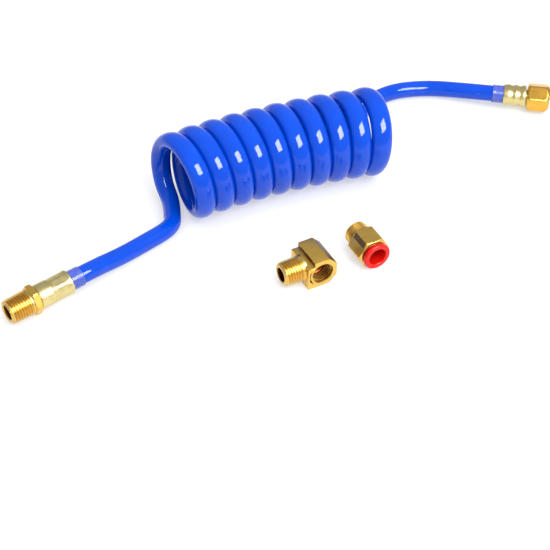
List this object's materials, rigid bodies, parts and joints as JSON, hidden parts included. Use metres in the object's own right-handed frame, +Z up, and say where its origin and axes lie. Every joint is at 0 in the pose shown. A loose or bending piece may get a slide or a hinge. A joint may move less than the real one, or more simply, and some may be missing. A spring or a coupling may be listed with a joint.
{
  "type": "coiled air hose",
  "caption": "Coiled polyurethane air hose with a crimped taper-thread end, a swivel-nut end, a loose street elbow and a loose push-in tube connector.",
  "frame": {"origin": "on the floor, at the middle of the kit's plan, measured over its fittings", "axes": "+X along the coil, from the taper-thread end to the swivel end; +Z up; +Y from the loose adapters towards the coil"},
  "size_m": [0.347, 0.1407, 0.0496],
  "materials": {
    "hose": "glossy translucent blue polyurethane",
    "guard_sleeve": "clear tinted vinyl sleeve",
    "thread_brass": "machined brass with turned threads",
    "nut_brass": "drawn hexagon brass, satin flats",
    "forged_brass": "forged and machined brass, satin",
    "ferrule_brass": "bright crimped yellow brass",
    "seal_rubber": "black nitrile rubber",
    "spring_steel": "stamped spring steel",
    "inner_plastic": "moulded acetal",
    "collet_plastic": "moulded red acetal"
  },
  "bodies": {
    "supply_end": {"hose_coil": "hose", "hose_tail_male": "hose", "male_stem": "thread_brass", "male_ferrule": "ferrule_brass", "male_guard_sleeve": "guard_sleeve"},
    "tool_end": {"hose_tail_swivel": "hose", "swivel_stem": "thread_brass", "swivel_seal_ring": "seal_rubber", "swivel_ferrule": "ferrule_brass", "swivel_guard_sleeve": "guard_sleeve"},
    "nut": {"swivel_nut": "nut_brass"},
    "elbow": {"street_elbow": "forged_brass"},
    "connector": {"connector_body": "nut_brass", "tube_seal": "seal_rubber", "seal_spacer": "inner_plastic", "grab_ring": "spring_steel", "collet_guide": "ferrule_brass"},
    "collet": {"release_collet": "collet_plastic"}
  },
  "joints": [
    {"name": "coil_stretch", "type": "slide", "parent": "supply_end", "child": "tool_end", "axis": [1, 0, 0], "range_m": [0, 0.3], "stiffness_N_per_m": 110, "deforming": ["hose_coil"]},
    {"name": "swivel_nut_spin", "type": "hinge", "parent": "tool_end", "child": "nut", "pos_m": [0.16396, 0.03765, 0.00866], "axis": [-0.8572, 0.515, 0], "continuous": true},
    {"name": "elbow_lift", "type": "slide", "parent": "supply_end", "child": "elbow", "axis": [0, 0, 1], "range_m": [0, 0.1]},
    {"name": "connector_lift", "type": "slide", "parent": "supply_end", "child": "connector", "axis": [0, 0, 1], "range_m": [0, 0.1]},
    {"name": "collet_press", "type": "slide", "parent": "connector", "child": "collet", "axis": [-0.1045, 0.9945, 0], "range_m": [0, 0.0012], "stiffness_N_per_m": 1500, "springref_m": -0.0015}
  ]
}
